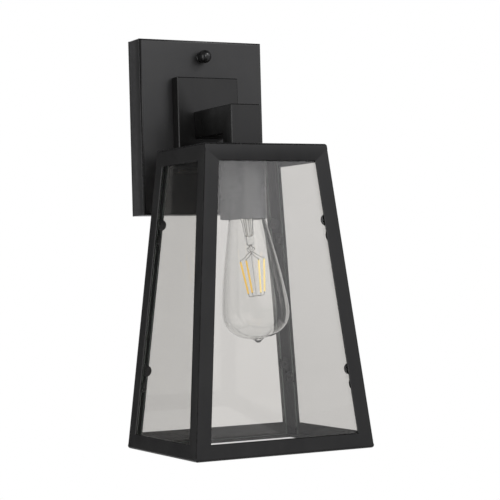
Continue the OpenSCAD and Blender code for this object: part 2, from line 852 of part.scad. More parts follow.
module wire_connectors() {
    color([0.85, 0.45, 0.1]) for (side = [-1, 1])
        translate([side * connector_x, hollow_y, connector_top - connector_len]) difference() {
            cylinder(r1 = 3.4, r2 = 5.4, h = connector_len);
            translate([0, 0, connector_len - connector_hole])
                cylinder(r = connector_bore, h = connector_hole + 1);
        }
}

// ---- Bulb ----------------------------------------------------------------------------------

// The bulb's outline, as radius and height, from its cap down to its bottom. inset draws the
// inside of the glass. The neck widens to the belly in a gentle curve; the bottom is a
// flattened half oval.
function neck_point(k, inset) =
    let (s = k * bulb_belly, swell = sin(90 * k))
    [neck_d / 2 + (bulb_d - neck_d) / 2 * (0.62 * k + 0.38 * swell) - inset, -mouth - s];

function bottom_point(angle, inset) =
    let (depth = bulb_len - bulb_belly)
    [(bulb_d / 2 - inset) * pow(cos(angle), 2 / oval_power),
        -mouth - bulb_belly - (depth - inset) * pow(sin(angle), 2 / oval_power)];

function bulb_outline(inset) = concat(
    [[0, cap_joint + 5], [cap_r - 0.6 - inset, cap_joint + 5],
        [cap_r - 0.6 - inset, cap_joint - 0.6 + inset / 2]],
    [for (i = [0 : belly_steps - 1]) neck_point(i / belly_steps, inset)],
    [for (i = [0 : bottom_steps]) bottom_point(90 * i / bottom_steps, inset)]);

module bulb_glass() {
    color([0.95, 0.95, 0.92, 0.2]) at_holder() {
        rotate_extrude() difference() {
            polygon(bulb_outline(0));
            polygon(bulb_outline(bulb_wall));
            translate([-1, cap_joint + 4]) square([cap_r, 3]);
        }
        translate([0, 0, -mouth - bulb_len]) rotate_extrude() intersection() {
            circle(r = tip_r);
            translate([0, -4]) square([5, 4 + bulb_wall / 2]);
        }
    }
}

module bulb_cap() {
    color(steel) at_holder() difference() {
        translate([0, 0, cap_joint]) cylinder(r = cap_r, h = cap_shell_len);
        translate([0, 0, cap_joint - 1]) cylinder(r = cap_r - cap_wall, h = cap_shell_len);
        translate([0, 0, cap_shell_top - 2]) cylinder(r = 9, h = 3);
    }
}

module bulb_insulator() {
    color([0.06, 0.06, 0.07]) at_holder() {
        translate([0, 0, cap_shell_top]) cylinder(r1 = 10.5, r2 = 5.6, h = insulator_len);
        translate([0, 0, cap_shell_top - 1.5]) cylinder(r = 8.8, h = 1.5 + eps);
    }
}

module bulb_contact() {
    color(steel) at_holder() translate([0, 0, insulator_top + gap]) rotate_extrude()
        polygon([[0, 0], [4.6, 0], [4.6, 0.5], [3, contact_len - gap], [0, contact_len - gap]]);
}

module bulb_stem() {
    color([0.95, 0.95, 0.92, 0.3]) at_holder() {
        rotate_extrude() polygon([[0, cap_joint + 1], [9.5, cap_joint + 1],
            [9.5, cap_joint - 0.5], [5, -mouth - 2], [4.6, -mouth - 14], [3.4, stem_tip + 3],
            [1.8, stem_tip], [0, stem_tip]]);
        translate([0, 0, stem_rod_end]) cylinder(r = 0.8, h = stem_tip - stem_rod_end + eps);
    }
}

module bulb_wires() {
    color(steel) at_holder() for (turn = [0 : 90 : 270]) rotate([0, 0, turn]) {
        rod([1.6, 0, stem_tip - 0.5], [filament_top_r, 0, filament_top + wire_gap], wire_r);
        rod([1.3, 0, stem_rod_end + 0.6], [filament_foot_r, 0, filament_foot - wire_gap], wire_r);
    }
}

module bulb_filaments() {
    color([1, 0.72, 0.2]) at_holder() for (turn = [0 : 90 : 270]) rotate([0, 0, turn])
        rod([filament_foot_r, 0, filament_foot], [filament_top_r, 0, filament_top], filament_r);
}

// ---- The whole lantern ---------------------------------------------------------------------

wall_gasket();
mounting_bar();
mounting_studs();
stud_locknuts();
ground_screw();
backplate();
mount_pad();
pad_screws();
arm();
arm_nipple();
arm_nipple_washer();
arm_nipple_nut();
cap_washer_top();
cap_washer_bottom();
cap_nut_top();
cap_nut_bottom();
roof_plate();
top_rail_front();
top_rail_back();
top_rail_left();
top_rail_right();
post_front_left();
post_front_right();
post_back_left();
post_back_right();
bottom_rail_front();
bottom_rail_back();
bottom_rail_left();
bottom_rail_right();
glass_front();
glass_back();
glass_left();
glass_right();
pane_studs();
pane_nuts();
drop_nipple();
drop_nipple_washer();
drop_nipple_nut();
socket_cover();
holder_plate();
holder_nut();
lamp_holder();
holder_shell();
holder_contact();
live_lead();
neutral_lead();
earth_lead();
wire_connectors();
bulb_contact();
bulb_insulator();
bulb_cap();
bulb_glass();
bulb_stem();
bulb_wires();
bulb_filaments();
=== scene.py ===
import json
import math
import random

import bmesh
import bpy
from mathutils import Matrix, Vector

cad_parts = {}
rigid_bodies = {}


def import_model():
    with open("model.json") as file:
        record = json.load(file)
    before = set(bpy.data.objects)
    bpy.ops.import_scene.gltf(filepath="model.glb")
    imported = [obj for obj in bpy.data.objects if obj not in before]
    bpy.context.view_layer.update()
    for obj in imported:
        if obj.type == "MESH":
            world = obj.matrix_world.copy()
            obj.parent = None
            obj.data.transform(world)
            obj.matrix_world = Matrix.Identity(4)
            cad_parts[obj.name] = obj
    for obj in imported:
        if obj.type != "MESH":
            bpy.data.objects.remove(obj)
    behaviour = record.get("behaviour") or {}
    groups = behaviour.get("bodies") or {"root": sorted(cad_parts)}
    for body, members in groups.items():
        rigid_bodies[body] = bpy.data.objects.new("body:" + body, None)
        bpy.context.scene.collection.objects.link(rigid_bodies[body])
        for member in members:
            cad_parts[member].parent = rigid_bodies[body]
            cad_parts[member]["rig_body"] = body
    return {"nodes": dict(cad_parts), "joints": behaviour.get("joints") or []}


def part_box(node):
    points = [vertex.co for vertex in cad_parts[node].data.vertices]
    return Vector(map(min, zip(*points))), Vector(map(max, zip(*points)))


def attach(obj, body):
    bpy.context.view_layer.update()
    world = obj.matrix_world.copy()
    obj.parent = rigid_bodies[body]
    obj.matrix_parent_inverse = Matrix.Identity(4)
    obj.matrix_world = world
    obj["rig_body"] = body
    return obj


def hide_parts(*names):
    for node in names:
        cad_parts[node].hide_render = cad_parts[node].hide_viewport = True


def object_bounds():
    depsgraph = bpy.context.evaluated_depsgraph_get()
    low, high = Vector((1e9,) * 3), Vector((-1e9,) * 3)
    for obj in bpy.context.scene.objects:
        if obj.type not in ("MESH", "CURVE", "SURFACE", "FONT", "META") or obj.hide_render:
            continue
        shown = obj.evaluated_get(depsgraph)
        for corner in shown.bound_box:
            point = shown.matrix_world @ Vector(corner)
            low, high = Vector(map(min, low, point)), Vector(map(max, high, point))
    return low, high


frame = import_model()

MM = 0.001
MERGE = 0.003 * MM             # corners of a CAD mesh this close are one corner
SLIVER = 0.002 * MM            # shorter edges are dropped
FLAT = 0.96                    # a face is flat when its normal is this close to an axis
CAD_LOW, CAD_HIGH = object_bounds()
JOINTS = {j["name"]: j for j in frame["joints"]}
SCENE = bpy.context.scene

# ---- Camera ---------------------------------------------------------------------------------

CAMERA_PLACE = Vector((-0.685817, -1.43824, -0.13661))
CAMERA_YAW = math.radians(27.44)
CAMERA_PITCH = math.radians(0.64)
CAMERA_ROLL = math.radians(-1.53)
CAMERA_LENS = 117.18           # mm, for a sensor this wide:
CAMERA_SENSOR = 36


def make_camera():
    """The camera at the photograph's angle: yaw to the right of +Y, pitch up, then roll."""
    data = bpy.data.cameras.new("view")
    data.lens = CAMERA_LENS
    data.sensor_width = CAMERA_SENSOR
    data.clip_start, data.clip_end = 0.05, 50
    ahead = Vector((math.sin(CAMERA_YAW) * math.cos(CAMERA_PITCH),
                    math.cos(CAMERA_YAW) * math.cos(CAMERA_PITCH), math.sin(CAMERA_PITCH)))
    level = Vector((math.cos(CAMERA_YAW), -math.sin(CAMERA_YAW), 0))
    upright = level.cross(ahead)
    right = level * math.cos(CAMERA_ROLL) + upright * math.sin(CAMERA_ROLL)
    up = upright * math.cos(CAMERA_ROLL) - level * math.sin(CAMERA_ROLL)
    camera = bpy.data.objects.new("view", data)
    camera.matrix_world = Matrix.Translation(CAMERA_PLACE) @ Matrix(
        (right, up, -ahead)).transposed().to_4x4()
    SCENE.collection.objects.link(camera)
    SCENE.camera = camera


# ---- Materials ------------------------------------------------------------------------------

GRIND_AND_SHEEN_SLANT = math.radians(35)


def node_math(tree, operation, *values):
    """A Math node on numbers or sockets."""
    node = tree.nodes.new("ShaderNodeMath")
    node.operation = operation
    for socket, value in zip(node.inputs, values):
        if isinstance(value, (int, float)):
            socket.default_value = value
        else:
            tree.links.new(value, socket)
    return node.outputs[0]


class Shader:
    """One procedural material, with short calls that add and link its nodes."""

    def __init__(self, name):
        self.material = bpy.data.materials.new(name)
        self.material.use_nodes = True
        self.tree = self.material.node_tree
        self.tree.nodes.clear()
        self.output = self.node("ShaderNodeOutputMaterial")
        self.surface = self.node("ShaderNodeBsdfPrincipled")
        self.link(self.surface.outputs[0], self.output.inputs["Surface"])
        self.place = self.node("ShaderNodeTexCoord").outputs["Object"]

    def node(self, kind, **settings):
        made = self.tree.nodes.new(kind)
        for key, value in settings.items():
            setattr(made, key, value)
        return made

    def link(self, source, target):
        self.tree.links.new(source, target)

    def set(self, **values):
        """Plain values on the Principled shader's own sockets."""
        for key, value in values.items():
            socket = self.surface.inputs[key.replace("_", " ")]
            socket.default_value = value

    def stretched(self, x, y, z, slant=0.0):
        """The object's coordinates, turned about Y by slant and stretched for streaks."""
        made = self.node("ShaderNodeMapping")
        made.inputs["Scale"].default_value = (x, y, z)
        made.inputs["Rotation"].default_value = (0, slant, 0)
        self.link(self.place, made.inputs["Vector"])
        return made.outputs[0]

    def noise(self, scale, detail=3.0, roughness=0.55, place=None):
        made = self.node("ShaderNodeTexNoise")
        made.inputs["Scale"].default_value = scale
        made.inputs["Detail"].default_value = detail
        made.inputs["Roughness"].default_value = roughness
        self.link(place or self.place, made.inputs["Vector"])
        return made.outputs["Fac"]

    def span(self, value, low, high, from_low=0.3, from_high=0.7):
        """value moved from its own range to low..high, held at both ends."""
        made = self.node("ShaderNodeMapRange")
        self.link(value, made.inputs["Value"])
        for key, number in (("From Min", from_low), ("From Max", from_high),
                            ("To Min", low), ("To Max", high)):
            made.inputs[key].default_value = number
        return made.outputs[0]

    def blend(self, factor, a, b):
        """A colour from a to b by factor."""
        made = self.node("ShaderNodeMix", data_type="RGBA")
        self.link(factor, made.inputs["Factor"])
        for socket, colour in ((made.inputs[6], a), (made.inputs[7], b)):
            if isinstance(colour, tuple):
                socket.default_value = (*colour, 1)
            else:
                self.link(colour, socket)
        return made.outputs[2]

    def math(self, operation, *values):
        return node_math(self.tree, operation, *values)

    def bump(self, height, depth, strength=1.0, under=None):
        """depth is in metres. under is a bump that this one lies on."""
        made = self.node("ShaderNodeBump")
        made.inputs["Strength"].default_value = strength
        made.inputs["Distance"].default_value = depth
        self.link(height, made.inputs["Height"])
        if under is not None:
            self.link(under, made.inputs["Normal"])
        return made.outputs[0]

    def lets_lamps_through(self, tint):
        """Light from the lamps passes straight through, so glass doesn't throw a black shadow."""
        path = self.node("ShaderNodeLightPath")
        clear = self.node("ShaderNodeBsdfTransparent")
        clear.inputs["Color"].default_value = (*tint, 1)
        mix = self.node("ShaderNodeMixShader")
        self.link(path.outputs["Is Shadow Ray"], mix.inputs[0])
        self.link(self.surface.outputs[0], mix.inputs[1])
        self.link(clear.outputs[0], mix.inputs[2])
        self.link(mix.outputs[0], self.output.inputs["Surface"])


def powder_coat(name, dark, light, roughness, grain_depth=0.00006, shine=0.5):
    """Satin black powder coat: fine orange peel, slow tone changes and a trace of dust, over
    faint slanting marks left by grinding the metal before it was coated; those slanting
    streaks also lighten the colour as a painted sheen."""
    s = Shader(name)
    grinding_and_sheen = s.noise(90, 3, 0.5, s.stretched(1, 1, 0.22, GRIND_AND_SHEEN_SLANT))
    # The slanting streaks lighten the tone of the colour: a painted sheen over the grinding
    # marks.
    tone = s.math("ADD", s.math("MULTIPLY_ADD", grinding_and_sheen, 0.45, s.noise(17, 4, 0.6)), -0.22)
    dust = s.noise(210, 5, 0.7)
    handled = s.noise(38, 3, 0.5)
    peel = s.noise(1250, 2, 0.5)
    grain = s.noise(4200, 2, 0.6)
    base = s.blend(s.span(tone, 0, 1), dark, light)
    speck = s.span(dust, 0, 0.05, 0.62, 0.8)
    s.link(s.blend(speck, base, (0.16, 0.155, 0.145)), s.surface.inputs["Base Color"])
    worn = s.math("ADD", s.span(handled, roughness - 0.05, roughness + 0.05),
                  s.span(grinding_and_sheen, -0.03, 0.03))
    rough = s.math("ADD", worn, s.span(dust, -0.02, 0.05, 0.4, 0.75))
    s.link(rough, s.surface.inputs["Roughness"])
    s.link(s.bump(grain, grain_depth / 3, 0.5, s.bump(peel, grain_depth, 0.7)),
           s.surface.inputs["Normal"])
    s.set(Specular_IOR_Level=shine)
    return s.material


def zinc_steel(name, tint=(0.62, 0.63, 0.65), roughness=0.34):
    """Zinc-plated steel: dull patches, fine drawn lines and a few stains."""
    s = Shader(name)
    patches = s.noise(120, 4, 0.6)
    lines = s.noise(900, 2, 0.6, s.stretched(1, 1, 0.06))
    stain = s.noise(40, 4, 0.65)
    dull = tuple(c * 0.72 for c in tint)
    base = s.blend(s.span(patches, 0, 1), dull, tint)
    s.link(s.blend(s.span(stain, 0, 0.5, 0.58, 0.8), base, (0.32, 0.29, 0.24)),
           s.surface.inputs["Base Color"])
    s.link(s.math("ADD", s.span(patches, roughness + 0.12, roughness - 0.06),
                  s.span(lines, -0.04, 0.06)), s.surface.inputs["Roughness"])
    s.link(s.bump(lines, 0.00002, 0.5), s.surface.inputs["Normal"])
    s.set(Metallic=1.0)
    return s.material


def brass(name):
    """Plain brass with darker tarnish."""
    s = Shader(name)
    tarnish = s.noise(160, 4, 0.6)
    lines = s.noise(1400, 2, 0.5)
    s.link(s.blend(s.span(tarnish, 0, 1), (0.72, 0.52, 0.22), (0.42, 0.28, 0.12)),
           s.surface.inputs["Base Color"])
    s.link(s.span(tarnish, 0.24, 0.5), s.surface.inputs["Roughness"])
    s.link(s.bump(lines, 0.00001, 0.5), s.surface.inputs["Normal"])
    s.set(Metallic=1.0)
    return s.material


def plastic(name, dark, light, roughness, grain=1600):
    """Moulded plastic or wire covering: faint flow marks, fine texture and scuffs."""
    s = Shader(name)
    flow = s.noise(60, 3, 0.5, s.stretched(1, 1, 0.4))
    scuffs = s.noise(420, 5, 0.7)
    s.link(s.blend(s.span(flow, 0, 1), dark, light), s.surface.inputs["Base Color"])
    s.link(s.span(scuffs, roughness - 0.06, roughness + 0.12), s.surface.inputs["Roughness"])
    s.link(s.bump(s.noise(grain, 2, 0.5), 0.00003, 0.5), s.surface.inputs["Normal"])
    return s.material


def foam(name):
    """Black closed-cell foam."""
    s = Shader(name)
    cells = s.noise(2200, 3, 0.6)
    s.link(s.blend(s.span(cells, 0, 1), (0.012, 0.012, 0.012), (0.05, 0.05, 0.05)),
           s.surface.inputs["Base Color"])
    s.link(s.span(cells, 0.95, 0.8), s.surface.inputs["Roughness"])
    s.link(s.bump(cells, 0.0002, 0.8), s.surface.inputs["Normal"])
    return s.material


def clear_glass(name, tint, roughness=0.0, wave=0.000003, wave_scale=9.0, ior=1.5):
    """Clear glass with a faint waviness and a few smears that the eye just catches."""
    s = Shader(name)
    smear = s.noise(26, 4, 0.6)
    faint = tuple(c * 0.985 for c in tint)
    s.link(s.blend(s.span(smear, 0, 1), tint, faint), s.surface.inputs["Base Color"])
    s.link(s.span(smear, roughness, roughness + 0.012, 0.55, 0.8),
           s.surface.inputs["Roughness"])
    s.link(s.bump(s.noise(wave_scale, 1, 0.4), wave, 0.4), s.surface.inputs["Normal"])
    s.set(Transmission_Weight=1.0, IOR=ior)
    s.lets_lamps_through(tint)
    return s.material


def ground_glass_edge(name):
    """The cut and arrised edge of a pane: greener and less clear than its faces."""
    s = Shader(name)
    grind = s.noise(900, 4, 0.7)
    s.link(s.blend(s.span(grind, 0, 1), (0.07, 0.1, 0.09), (0.13, 0.17, 0.155)),
           s.surface.inputs["Base Color"])
    s.link(s.span(grind, 0.3, 0.5), s.surface.inputs["Roughness"])
    s.link(s.bump(grind, 0.00002, 0.5), s.surface.inputs["Normal"])
    s.set(Transmission_Weight=0.25, IOR=1.5)
    s.lets_lamps_through((0.7, 0.78, 0.74))
    return s.material


def phosphor(name, deep, bright, painted_glow):
    """The yellow coating of an LED filament, with the chips under it as faint bands.
    It glows a little though the bulb is not lit: painted light that makes it read bright.
    """
    s = Shader(name)
    bands = s.node("ShaderNodeTexWave", wave_type="BANDS", bands_direction="Z")
    bands.inputs["Scale"].default_value = 330
    bands.inputs["Distortion"].default_value = 0.6
    s.link(s.place, bands.inputs["Vector"])
    lumps = s.noise(1100, 3, 0.6)
    colour = s.blend(s.span(bands.outputs["Fac"], 0, 1, 0.1, 0.9), deep, bright)
    s.link(colour, s.surface.inputs["Base Color"])
    # The coating's colour also glows: painted light on an unlit filament.
    s.link(colour, s.surface.inputs["Emission Color"])
    s.link(s.span(lumps, 0.45, 0.7), s.surface.inputs["Roughness"])
    s.link(s.bump(lumps, 0.00008, 0.6), s.surface.inputs["Normal"])
    s.set(Emission_Strength=painted_glow)
    return s.material


# One powder coat, a little lighter or darker by piece to follow the way the light falls.
COAT = powder_coat("coat", (0.008, 0.008, 0.0082), (0.014, 0.0138, 0.0135), 0.4)
# The edge coat is darker than the coat beside it: painted shade that draws dark outlines along
# the chamfered and rounded edges.
COAT_EDGE_SHADE = powder_coat("coat_edge_shade", (0.004, 0.004, 0.0042), (0.009, 0.0088, 0.0086), 0.26,
                        shine=0.3)
COAT_NUT = powder_coat("coat_nut", (0.006, 0.006, 0.0062), (0.014, 0.0138, 0.0135), 0.22)
COAT_ARM = powder_coat("coat_arm", (0.008, 0.0079, 0.0078), (0.0135, 0.0132, 0.0128), 0.36,
                       shine=0.38)
COAT_CAGE = powder_coat("coat_cage", (0.006, 0.006, 0.0061), (0.0115, 0.0113, 0.0111), 0.36,
                        shine=0.3)
COAT_COVER = powder_coat("coat_cover", (0.135, 0.139, 0.15), (0.165, 0.169, 0.182), 0.27, 0.00002)
ZINC = zinc_steel("zinc")
NICKEL = zinc_steel("nickel", (0.72, 0.7, 0.67), 0.24)
WIRE = zinc_steel("wire_metal", (0.36, 0.34, 0.32), 0.36)
BRASS = brass("brass")
FOAM = foam("foam")
GREEN = powder_coat("green_screw", (0.02, 0.2, 0.05), (0.03, 0.3, 0.08), 0.35, 0.00002)
BLACK_PLASTIC = plastic("black_plastic", (0.014, 0.014, 0.015), (0.03, 0.03, 0.031), 0.45)
ORANGE_PLASTIC = plastic("orange_plastic", (0.6, 0.17, 0.015), (0.78, 0.25, 0.03), 0.42)
BLACK_WIRE = plastic("black_wire", (0.01, 0.01, 0.01), (0.022, 0.022, 0.022), 0.4)
WHITE_WIRE = plastic("white_wire", (0.7, 0.69, 0.64), (0.82, 0.81, 0.77), 0.42)
GREEN_WIRE = plastic("green_wire", (0.02, 0.22, 0.05), (0.03, 0.32, 0.08), 0.42)
VITRITE = plastic("vitrite", (0.01, 0.01, 0.014), (0.03, 0.03, 0.04), 0.16)
PANE = clear_glass("pane", (0.9, 0.89, 0.862))
PANE_EDGE = ground_glass_edge("pane_edge")
BULB_GLASS = clear_glass("bulb_glass_clear", (0.985, 0.985, 0.98), 0.0, 0.00003, 40.0)
STEM_GLASS = clear_glass("stem_glass", (0.97, 0.97, 0.965), 0.0, 0.00004, 160.0, 1.24)
# Both filament coats glow a little though the bulb is not lit: painted light.
PHOSPHOR_A = phosphor("phosphor_amber", (0.86, 0.5, 0.03), (0.95, 0.62, 0.07), 0.35)
PHOSPHOR_B = phosphor("phosphor_yellow", (0.9, 0.66, 0.16), (0.98, 0.78, 0.3), 0.5)


# ---- Mesh tools -----------------------------------------------------------------------------


def add_piece(name, bm, body, nodes, materials, smooth=35.0, weighted=False):
    """A new piece from a bmesh. It rides on a body and stands for the CAD nodes named."""
    mesh = bpy.data.meshes.new(name)
    bmesh.ops.recalc_face_normals(bm, faces=bm.faces)
    bm.to_mesh(mesh)
    bm.free()
    mesh.shade_smooth()
    mesh.set_sharp_from_angle(angle=math.radians(smooth))
    for material in materials:
        mesh.materials.append(material)
    piece = bpy.data.objects.new(name, mesh)
    SCENE.collection.objects.link(piece)
    if weighted:
        normals = piece.modifiers.new("normals", "WEIGHTED_NORMAL")
        normals.keep_sharp = True
    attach(piece, body)
    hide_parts(*nodes)


def body_of(node):
    """The moving body that a CAD node is part of."""
    return frame["nodes"][node]["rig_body"]


def cad_copy(node):
    """The CAD node's shape as a bmesh with shared corners and whole flat faces."""
    bm = bmesh.new()
    bm.from_mesh(frame["nodes"][node].data)
    bmesh.ops.remove_doubles(bm, verts=bm.verts, dist=MERGE)
    bmesh.ops.dissolve_limit(bm, angle_limit=math.radians(0.6), verts=bm.verts, edges=bm.edges)
    return bm


def is_corner(edge, least):
    """True for an edge where two faces meet at more than least degrees, on the outside."""
    if len(edge.link_faces) != 2:
        return False
    return edge.calc_face_angle_signed(0.0) > math.radians(least)


def softened(node, name, width, materials, segments, shortest, least=30.0, pane=False):
    """A copy of a CAD node with its outer edges rounded, or chamfered where segments is 1.
    Only edges longer than shortest that turn by more than least degrees are worked on.
    Rounded and slanted faces are in materials[1], and so is the rim of a pane."""
    bm = cad_copy(node)
    corners = [e for e in bm.edges if is_corner(e, least) and e.calc_length() > shortest]
    bmesh.ops.bevel(bm, geom=corners, offset=width, segments=segments, profile=0.5,
                    affect="EDGES", clamp_overlap=False, material=1)
    bmesh.ops.dissolve_degenerate(bm, dist=SLIVER, edges=bm.edges)
    bm.normal_update()
    main = max(bm.faces, key=lambda f: f.calc_area()).normal.copy()
    for face in bm.faces:
        square = abs(face.normal.dot(main)) if pane else max(abs(n) for n in face.normal)
        face.material_index = 0 if square > FLAT else 1
    add_piece(name, bm, body_of(node), [node], materials,
              weighted=segments > 1 or pane)


def smoothed(node, name, materials, smooth=30.0):
    """A copy of a CAD node with its curved faces shaded smooth."""
    bm = bmesh.new()
    bm.from_mesh(frame["nodes"][node].data)
    bmesh.ops.remove_doubles(bm, verts=bm.verts, dist=MERGE)
    add_piece(name, bm, body_of(node), [node], materials, smooth)


def lathe(bm, profile, place, segments=96, material=0):
    """Turns a profile of (radius, height) points about place's own Z axis. A profile that
    starts and ends on the axis closes itself; any other is joined from its end to its start."""
    rings = []
    for radius, height in profile:
        if radius == 0:
            rings.append([bm.verts.new(place @ Vector((0, 0, height)))])
        else:
            rings.append([bm.verts.new(place @ Vector((
                radius * math.cos(2 * math.pi * k / segments),
                radius * math.sin(2 * math.pi * k / segments), height)))
                for k in range(segments)])
    whole = len(rings[0]) == 1 and len(rings[-1]) == 1
    pairs = list(zip(rings, rings[1:])) + ([] if whole else [(rings[-1], rings[0])])
    for a, b in pairs:
        for k in range(segments):
            n = (k + 1) % segments
            corners = [a[k % len(a)], a[n % len(a)], b[n % len(b)], b[k % len(b)]]
            face = bm.faces.new(list(dict.fromkeys(corners)))
            face.material_index = material


def sweep(bm, path, radius, sides):
    """A round wire along a path of points, closed at both ends."""
    path = [Vector(p) for p in path]
    count = len(path)
    heading = [(path[min(i + 1, count - 1)] - path[max(i - 1, 0)]).normalized()
               for i in range(count)]
    side = heading[0].orthogonal().normalized()
    rings = []
    for point, ahead in zip(path, heading):
        side = (side - ahead * side.dot(ahead)).normalized()
        other = ahead.cross(side)
        rings.append([bm.verts.new(point + radius * (
            side * math.cos(2 * math.pi * k / sides) + other * math.sin(2 * math.pi * k / sides)))
            for k in range(sides)])
    for a, b in zip(rings, rings[1:]):
        for k in range(sides):
            n = (k + 1) % sides
            bm.faces.new([a[k], a[n], b[n], b[k]])
    for ring in (rings[0], rings[-1]):
        bm.faces.new(ring)


def threaded(bm, place, radius, depth, pitch, low, high, sides, bore=0.0, plain_low=0.0,
             plain_high=0.0):
    """A screw thread along place's Z, from low to high, solid or with a plain bore. It fades
    out over one pitch before each plain end."""
    rings_a_turn = 8
    steps = math.ceil((high - low) / pitch * rings_a_turn)
    rings = []
    for i in range(steps + 1):
        height = low + (high - low) * i / steps
        fade = min(1.0, (height - low - plain_low) / pitch, (high - plain_high - height) / pitch)
        ring = []
        for k in range(sides):
            turn = height / pitch - k / sides
            cut = depth * max(0.0, fade) * (0.5 - 0.5 * math.cos(2 * math.pi * turn))
            r = radius - cut
            angle = 2 * math.pi * k / sides
            ring.append(bm.verts.new(place @ Vector((
                r * math.cos(angle), r * math.sin(angle), height))))
        rings.append(ring)
    if bore > 0:
        for height in (high, low):
            rings.append([bm.verts.new(place @ Vector((
                bore * math.cos(2 * math.pi * k / sides),
                bore * math.sin(2 * math.pi * k / sides), height))) for k in range(sides)])
        pairs = list(zip(rings, rings[1:] + rings[:1]))
    else:
        pairs = list(zip(rings, rings[1:]))
        for ring in (rings[0], rings[-1]):
            bm.faces.new(ring)
    for a, b in pairs:
        for k in range(sides):
            n = (k + 1) % sides
            bm.faces.new([a[k], a[n], b[n], b[k]])


def turned_to(point, axis):
    """A frame at point whose Z lies along axis."""
    return Matrix.Translation(point) @ Vector(axis).to_track_quat("Z", "Y").to_matrix().to_4x4()


# ---- Backplate, pad and arm -----------------------------------------------------------------


def make_mounting():
    """What the lantern hangs from. The coated pieces have crisp chamfers on their long edges."""
    softened("mounting_bar", "bar", 0.35 * MM, [ZINC, ZINC], 2, 3 * MM)
    softened("stud_locknuts", "locknuts", 0.3 * MM, [ZINC, ZINC], 2, 1 * MM)
    softened("ground_screw", "earth_screw", 0.2 * MM, [GREEN, GREEN], 2, 1 * MM)
    softened("pad_screws", "pad_fixings", 0.25 * MM, [ZINC, ZINC], 2, 1 * MM, 50)
    smoothed("wall_gasket", "gasket", [FOAM])
    softened("backplate", "plate", 0.5 * MM, [COAT, COAT_EDGE_SHADE], 1, 20 * MM, 60)
    softened("mount_pad", "pad", 0.8 * MM, [COAT_ARM, COAT_EDGE_SHADE], 1, 20 * MM, 60)
    softened("arm", "arm_tube", 0.8 * MM, [COAT_ARM, COAT_EDGE_SHADE], 1, 8 * MM, 60)


def make_studs():
    """Two M5 studs, threaded from end to end."""
    depth, pitch = 0.42 * MM, 0.8 * MM
    low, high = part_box("mounting_studs")
    radius = (high.x - low.x) / 2
    bm = bmesh.new()
    for z in (high.z - radius, low.z + radius):
        place = turned_to(Vector((0, high.y, z)), (0, -1, 0))
        threaded(bm, place, radius, depth, pitch, 0, high.y - low.y, 28)
    add_piece("studs", bm, body_of("mounting_studs"), ["mounting_studs"],
              [ZINC], 50)


def make_pipes():
    """The two threaded pipes with their nuts and washers."""
    radius, bore, depth, pitch = 5 * MM, 3.5 * MM, 0.45 * MM, 0.94 * MM
    for node, axis in (("arm_nipple", (0, -1, 0)), ("drop_nipple", (0, 0, 1))):
        low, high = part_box(node)
        middle = (low + high) / 2
        along = Vector(axis)
        length = abs((high - low).dot(along))
        start = middle - along * length / 2
        bm = bmesh.new()
        threaded(bm, turned_to(start, axis), radius, depth, pitch, 0, length, 32, bore)
        add_piece(node + "_pipe", bm, body_of(node), [node], [ZINC], 50)
        softened(node + "_nut", node + "_hex", 0.4 * MM, [ZINC, ZINC], 2, 1 * MM, 40)
        softened(node + "_washer", node + "_ring", 0.15 * MM, [ZINC, ZINC], 1, 0, 60)
    softened("holder_nut", "holder_hex", 0.4 * MM, [ZINC, ZINC], 2, 1 * MM, 40)
    softened("holder_plate", "holder_disc", 0.2 * MM, [ZINC, ZINC], 1, 0, 60)


def arc(centre, radius, start, end, steps):
    """Profile points along an arc, with angles in degrees from the radius direction."""
    return [(centre[0] + radius * math.cos(math.radians(start + (end - start) * i / steps)),
             centre[1] + radius * math.sin(math.radians(start + (end - start) * i / steps)))
            for i in range(steps + 1)]


def make_cap_nuts():
    """Ball-shaped cap nuts on their washers, turned smooth, each bored for its stud."""
    ball, centre, ball_foot = 6.4 * MM, 5.6 * MM, 1.75 * MM
    neck, neck_top, cut = 5 * MM, 1.2 * MM, 0.3 * MM
    bore, deep = 2.6 * MM, 7.6 * MM
    for side in ("top", "bottom"):
        node = "cap_nut_" + side
        low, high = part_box(node)
        middle = (low + high) / 2
        place = turned_to(Vector((middle.x, high.y, middle.z)), (0, -1, 0))
        foot = math.degrees(math.asin((centre - ball_foot) / ball))
        profile = [(0, deep), (bore, deep), (bore, cut), (bore + cut, 0)]
        profile += [(neck - cut, 0), (neck, cut), (neck, neck_top)]
        profile += arc((0, centre), ball, -foot, 89, 30)
        profile += [(0, centre + ball)]
        bm = bmesh.new()
        lathe(bm, profile, place, 72)
        add_piece("ball_nut_" + side, bm, body_of(node), [node], [COAT_NUT], 40)

        node = "cap_washer_" + side
        low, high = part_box(node)
        place = turned_to(Vector((middle.x, high.y, middle.z)), (0, -1, 0))
        thick, edge, radius = high.y - low.y, 0.25 * MM, (high.x - low.x) / 2
        bm = bmesh.new()
        lathe(bm, [(bore, 0), (radius - edge, 0), (radius, edge), (radius, thick - edge),
                   (radius - edge, thick), (bore, thick)], place, 64)
        add_piece("ball_nut_washer_" + side, bm, body_of(node), [node], [COAT_NUT], 40)


# ---- Cage -----------------------------------------------------------------------------------

SIDES = ("front", "back", "left", "right")
CORNERS = [a + "_" + b for a in ("front", "back") for b in ("left", "right")]


def make_cage():
    """Angle iron with chamfered long edges, the panes, the roof and the panes' nuts."""
    long_edge, cut = 40 * MM, 0.6 * MM
    coats = [COAT_CAGE, COAT_EDGE_SHADE]
    for corner in CORNERS:
        softened("post_" + corner, "upright_" + corner, cut, coats, 1, long_edge, 50)
    for side in SIDES:
        for level in ("top", "bottom"):
            softened(f"{level}_rail_{side}", f"{level}_bar_{side}", cut, coats, 1, long_edge, 50)
        softened("glass_" + side, "pane_" + side, 0.5 * MM, [PANE, PANE_EDGE], 1, 20 * MM, 50,
                 pane=True)
    softened("roof_plate", "roof", 0.3 * MM, coats, 2, 60 * MM, 40)
    smoothed("pane_nuts", "pane_discs", [COAT_CAGE])
    smoothed("pane_studs", "pane_pins", [COAT_CAGE])


# ---- Socket cover and lamp holder ------------------------------------------------------------


